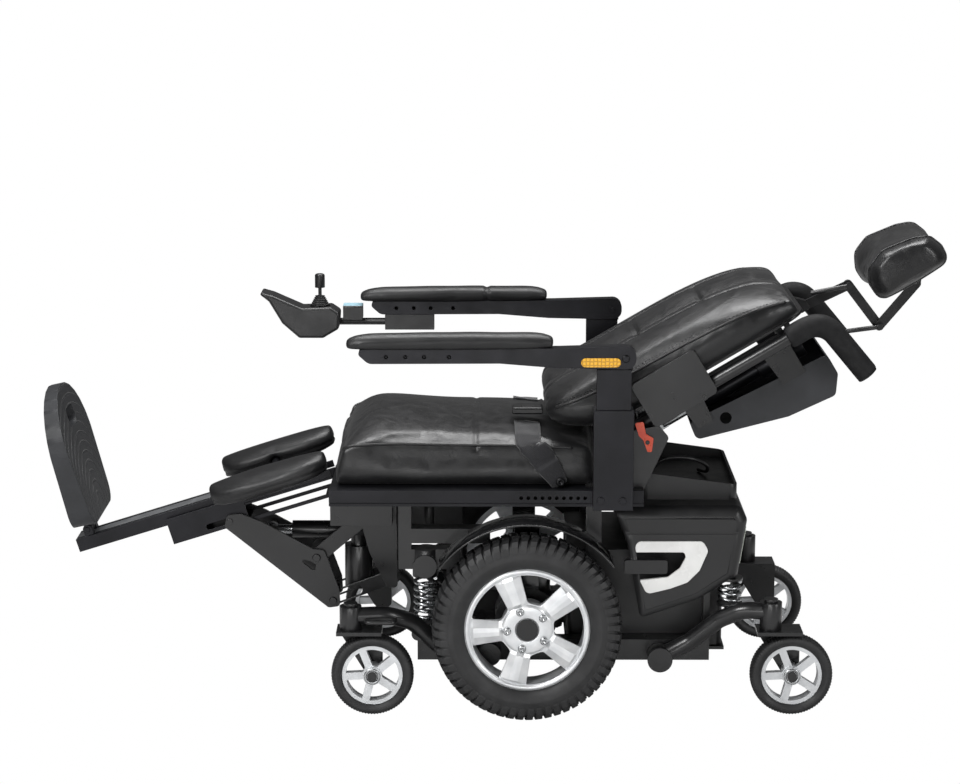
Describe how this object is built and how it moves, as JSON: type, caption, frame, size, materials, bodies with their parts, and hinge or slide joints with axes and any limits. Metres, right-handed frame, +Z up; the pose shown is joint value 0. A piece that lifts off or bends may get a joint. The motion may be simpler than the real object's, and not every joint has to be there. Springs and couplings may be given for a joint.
{
  "type": "power reclining wheelchair",
  "caption": "Reclining power wheelchair with sprung caster arms, driven centre wheels, raised leg rest, footplate, padded seat, back, headrest and joystick armrest.",
  "frame": {"origin": "on the floor under the middle of the chair's overall box", "axes": "+X to the rear, +Y to the user's right, +Z up"},
  "size_m": [1.7032, 0.6162, 0.8782],
  "materials": {
    "powder_coat": "satin",
    "anodised_black": "satin",
    "alloy": "satin",
    "tyre": "matte",
    "spring_steel": "bright",
    "satin_plastic": "satin",
    "gloss_plastic": "gloss",
    "white_plastic": "gloss",
    "grey_plastic": "textured",
    "leather": "grained",
    "moulded_foam": "soft matte",
    "webbing": "woven",
    "lever_orange": "gloss"
  },
  "bodies": {
    "base": {"base_frame": "powder_coat", "battery_box": "satin_plastic", "drive_motors": "powder_coat", "base_shroud": "satin_plastic", "shroud_trim": "white_plastic", "mudguards": "gloss_plastic", "seat_frame": "anodised_black", "seat_cushion": "leather", "lap_belt": "webbing", "recline_brackets": "powder_coat", "armrest_sleeves": "anodised_black", "legrest_mount": "powder_coat", "front_spring_left": "spring_steel", "front_spring_right": "spring_steel", "rear_spring_left": "spring_steel", "rear_spring_right": "spring_steel"},
    "back": {"back_frame": "powder_coat", "back_cover": "grey_plastic", "back_actuator_rod": "alloy"},
    "back_carrier": {"back_shell": "powder_coat", "back_cushion": "leather", "back_actuator_body": "anodised_black"},
    "headrest_lower": {"headrest_lower_link": "powder_coat"},
    "headrest_upper": {"headrest_upper_link": "powder_coat"},
    "headrest": {"headrest_pad": "leather"},
    "legrest": {"legrest_hanger": "anodised_black", "legrest_plates": "powder_coat", "calf_pads": "moulded_foam"},
    "leg_link": {"legrest_link": "powder_coat"},
    "leg_rail": {"legrest_rail": "anodised_black"},
    "footplate": {"footplate": "grey_plastic"},
    "leg_actuator": {"leg_actuator_body": "powder_coat"},
    "leg_actuator_rod": {"leg_actuator_rod": "alloy"},
    "joystick_gimbal": {"joystick_boot": "moulded_foam"},
    "joystick": {"joystick_stick": "satin_plastic"},
    "recline_lever": {"recline_lever": "lever_orange"},
    "drive_wheel_left": {"drive_rim_left": "alloy", "drive_tyre_left": "tyre"},
    "front_arm_left": {"front_arm_left": "powder_coat"},
    "rear_arm_left": {"rear_arm_left": "powder_coat"},
    "front_fork_left": {"front_fork_left": "powder_coat"},
    "rear_fork_left": {"rear_fork_left": "powder_coat"},
    "front_caster_left": {"front_caster_left": "tyre"},
    "rear_caster_left": {"rear_caster_left": "tyre"},
    "armrest_post_left": {"armrest_post_left": "anodised_black"},
    "armrest_left": {"armrest_beam_left": "anodised_black", "armrest_pad_left": "moulded_foam"},
    "drive_wheel_right": {"drive_rim_right": "alloy", "drive_tyre_right": "tyre"},
    "front_arm_right": {"front_arm_right": "powder_coat"},
    "rear_arm_right": {"rear_arm_right": "powder_coat"},
    "front_fork_right": {"front_fork_right": "powder_coat"},
    "rear_fork_right": {"rear_fork_right": "powder_coat"},
    "front_caster_right": {"front_caster_right": "tyre"},
    "rear_caster_right": {"rear_caster_right": "tyre"},
    "armrest_post_right": {"armrest_post_right": "anodised_black"},
    "armrest_right": {"armrest_beam_right": "anodised_black", "armrest_pad_right": "moulded_foam", "joystick_mount": "satin_plastic", "joystick_pod": "satin_plastic"}
  },
  "joints": [
    {"name": "drive_spin_left", "type": "hinge", "parent": "base", "child": "drive_wheel_left", "pos_m": [0.06704, -0.27, 0.176], "axis": [0, 1, 0], "continuous": true},
    {"name": "front_swing_left", "type": "hinge", "parent": "base", "child": "front_arm_left", "pos_m": [-0.00296, -0.204, 0.105], "axis": [0, 1, 0], "range_deg": [0, 6], "stiffness_Nm_per_rad": 300, "springref_deg": -14.32, "deforming": ["front_spring_left"]},
    {"name": "rear_swing_left", "type": "hinge", "parent": "base", "child": "rear_arm_left", "pos_m": [0.31704, -0.204, 0.097], "axis": [0, -1, 0], "range_deg": [0, 6], "stiffness_Nm_per_rad": 300, "springref_deg": -14.32, "deforming": ["rear_spring_left"]},
    {"name": "front_swivel_left", "type": "hinge", "parent": "front_arm_left", "child": "front_fork_left", "pos_m": [-0.26046, -0.245, 0.077], "axis": [0, 0, 1], "continuous": true},
    {"name": "rear_swivel_left", "type": "hinge", "parent": "rear_arm_left", "child": "rear_fork_left", "pos_m": [0.52044, -0.242, 0.077], "axis": [0, 0, 1], "continuous": true},
    {"name": "front_caster_spin_left", "type": "hinge", "parent": "front_fork_left", "child": "front_caster_left", "pos_m": [-0.22046, -0.245, 0.077], "axis": [0, 1, 0], "continuous": true},
    {"name": "rear_caster_spin_left", "type": "hinge", "parent": "rear_fork_left", "child": "rear_caster_left", "pos_m": [0.56044, -0.242, 0.077], "axis": [0, 1, 0], "continuous": true},
    {"name": "armrest_height_left", "type": "slide", "parent": "base", "child": "armrest_post_left", "axis": [0, 0, 1], "range_m": [-0.055, 0.045]},
    {"name": "armrest_flip_left", "type": "hinge", "parent": "armrest_post_left", "child": "armrest_left", "pos_m": [0.24404, -0.263, 0.681], "axis": [0, 1, 0], "range_deg": [0, 95]},
    {"name": "drive_spin_right", "type": "hinge", "parent": "base", "child": "drive_wheel_right", "pos_m": [0.06704, 0.27, 0.176], "axis": [0, 1, 0], "continuous": true},
    {"name": "front_swing_right", "type": "hinge", "parent": "base", "child": "front_arm_right", "pos_m": [-0.00296, 0.204, 0.105], "axis": [0, 1, 0], "range_deg": [0, 6], "stiffness_Nm_per_rad": 300, "springref_deg": -14.32, "deforming": ["front_spring_right"]},
    {"name": "rear_swing_right", "type": "hinge", "parent": "base", "child": "rear_arm_right", "pos_m": [0.31704, 0.204, 0.097], "axis": [0, -1, 0], "range_deg": [0, 6], "stiffness_Nm_per_rad": 300, "springref_deg": -14.32, "deforming": ["rear_spring_right"]},
    {"name": "front_swivel_right", "type": "hinge", "parent": "front_arm_right", "child": "front_fork_right", "pos_m": [-0.26046, 0.245, 0.077], "axis": [0, 0, 1], "continuous": true},
    {"name": "rear_swivel_right", "type": "hinge", "parent": "rear_arm_right", "child": "rear_fork_right", "pos_m": [0.52044, 0.242, 0.077], "axis": [0, 0, 1], "continuous": true},
    {"name": "front_caster_spin_right", "type": "hinge", "parent": "front_fork_right", "child": "front_caster_right", "pos_m": [-0.22046, 0.245, 0.077], "axis": [0, 1, 0], "continuous": true},
    {"name": "rear_caster_spin_right", "type": "hinge", "parent": "rear_fork_right", "child": "rear_caster_right", "pos_m": [0.56044, 0.242, 0.077], "axis": [0, 1, 0], "continuous": true},
    {"name": "armrest_height_right", "type": "slide", "parent": "base", "child": "armrest_post_right", "axis": [0, 0, 1], "range_m": [-0.055, 0.045]},
    {"name": "armrest_flip_right", "type": "hinge", "parent": "armrest_post_right", "child": "armrest_right", "pos_m": [0.24404, 0.263, 0.681], "axis": [0, 1, 0], "range_deg": [0, 95]},
    {"name": "back_recline", "type": "hinge", "parent": "base", "child": "back", "pos_m": [0.26704, 0, 0.5], "axis": [0, -1, 0], "range_deg": [0, 58]},
    {"name": "back_shear", "type": "slide", "parent": "back", "child": "back_carrier", "axis": [0.8572, 0, 0.515], "range_m": [0, 0.165]},
    {"name": "headrest_lower_pivot", "type": "hinge", "parent": "back_carrier", "child": "headrest_lower", "pos_m": [0.59604, 0, 0.731], "axis": [0, -1, 0], "range_deg": [-15, 40]},
    {"name": "headrest_upper_pivot", "type": "hinge", "parent": "headrest_lower", "child": "headrest_upper", "pos_m": [0.68104, 0, 0.772], "axis": [0, -1, 0], "range_deg": [-15, 30]},
    {"name": "headrest_pad_pivot", "type": "hinge", "parent": "headrest_upper", "child": "headrest", "pos_m": [0.74204, 0, 0.693], "axis": [0, -1, 0], "range_deg": [-15, 8]},
    {"name": "legrest_lift", "type": "hinge", "parent": "base", "child": "legrest", "pos_m": [-0.33596, 0, 0.247], "axis": [0, -1, 0], "range_deg": [0, 30]},
    {"name": "legrest_extend", "type": "slide", "parent": "legrest", "child": "leg_rail", "axis": [0.9548, 0, 0.2974], "range_m": [0, 0.1]},
    {"name": "footplate_fold", "type": "hinge", "parent": "leg_rail", "child": "footplate", "pos_m": [-0.77966, 0, 0.29742], "axis": [0, 1, 0], "range_deg": [0, 45]},
    {"name": "legrest_link_pivot", "type": "hinge", "parent": "base", "child": "leg_link", "pos_m": [-0.18796, 0, 0.205], "axis": [0, 1, 0], "range_deg": [0, 10]},
    {"name": "leg_actuator_pivot", "type": "hinge", "parent": "base", "child": "leg_actuator", "pos_m": [-0.22296, 0, 0.291], "axis": [0, -1, 0], "range_deg": [0, 14]},
    {"name": "leg_actuator_extend", "type": "slide", "parent": "leg_actuator", "child": "leg_actuator_rod", "axis": [-1, 0, 0], "range_m": [0, 0.016]},
    {"name": "joystick_tilt_x", "type": "hinge", "parent": "armrest_right", "child": "joystick_gimbal", "pos_m": [-0.34396, 0.263, 0.69], "axis": [0, 1, 0], "range_deg": [-15, 15], "stiffness_Nm_per_rad": 0.6},
    {"name": "joystick_tilt_y", "type": "hinge", "parent": "joystick_gimbal", "child": "joystick", "pos_m": [-0.34396, 0.263, 0.69], "axis": [1, 0, 0], "range_deg": [-15, 15], "stiffness_Nm_per_rad": 0.6},
    {"name": "recline_release", "type": "hinge", "parent": "base", "child": "recline_lever", "pos_m": [0.28904, -0.212, 0.512], "axis": [0, -1, 0], "range_deg": [0, 20], "stiffness_Nm_per_rad": 1, "springref_deg": -11.46}
  ],
  "couplings": [
    {"joint": "back_shear", "follows": "back_recline", "m_per_rad": 0.163},
    {"joint": "legrest_extend", "follows": "legrest_lift", "m_per_rad": 0.19099},
    {"joint": "legrest_link_pivot", "follows": "legrest_lift", "ratio": 0.22},
    {"joint": "leg_actuator_pivot", "follows": "legrest_lift", "ratio": 0.443},
    {"joint": "leg_actuator_extend", "follows": "legrest_lift", "m_per_rad": 0.030176}
  ]
}
